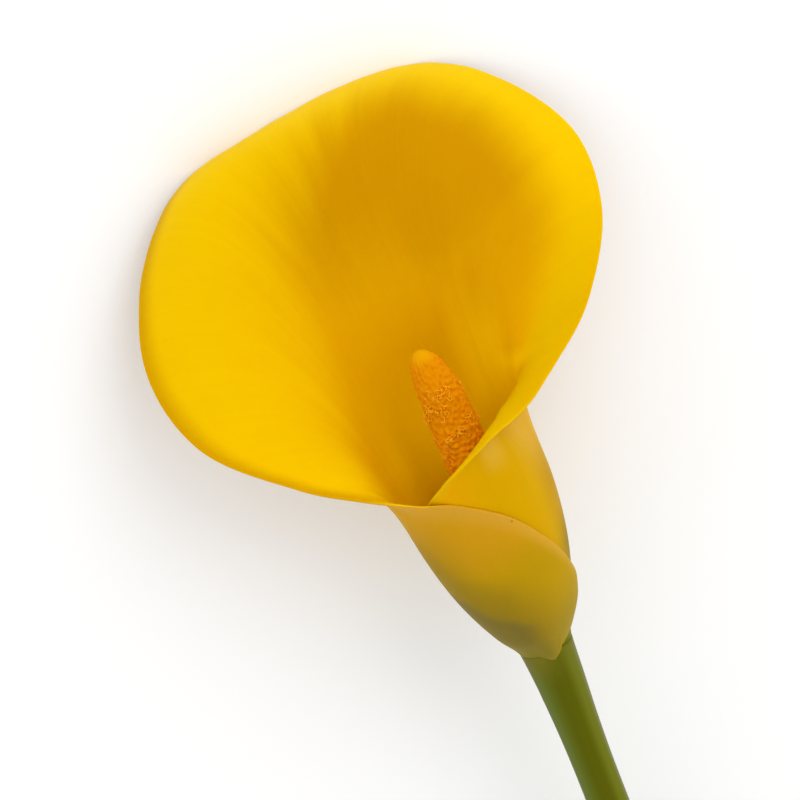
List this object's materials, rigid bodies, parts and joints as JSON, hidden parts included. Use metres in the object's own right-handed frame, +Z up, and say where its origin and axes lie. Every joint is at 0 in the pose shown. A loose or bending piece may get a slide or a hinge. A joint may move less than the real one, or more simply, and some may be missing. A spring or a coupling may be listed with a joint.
{
  "type": "calla lily flower",
  "caption": "Single cut calla lily laid on its back: a rolled funnel-shaped spathe round a floret-covered spadix, on a tapering stem.",
  "frame": {"origin": "centre of the footprint of the lying flower, on the surface it rests on", "axes": "+Z up from the surface, +Y along the flower from the cut end of the stem towards the mouth, +X to the right of the flower seen from its front"},
  "size_m": [0.0868, 0.303, 0.0475],
  "materials": {
    "stem": "smooth waxy green stem skin with faint lengthwise fibres and a pale wet cut",
    "spathe": "waxy, slightly translucent yellow bract, duller ochre outside, green at its foot",
    "spadix": "rough orange florets dusted with pale yellow pollen"
  },
  "bodies": {
    "root": {"stem": "stem", "spathe": "spathe", "spadix": "spadix"}
  },
  "joints": []
}
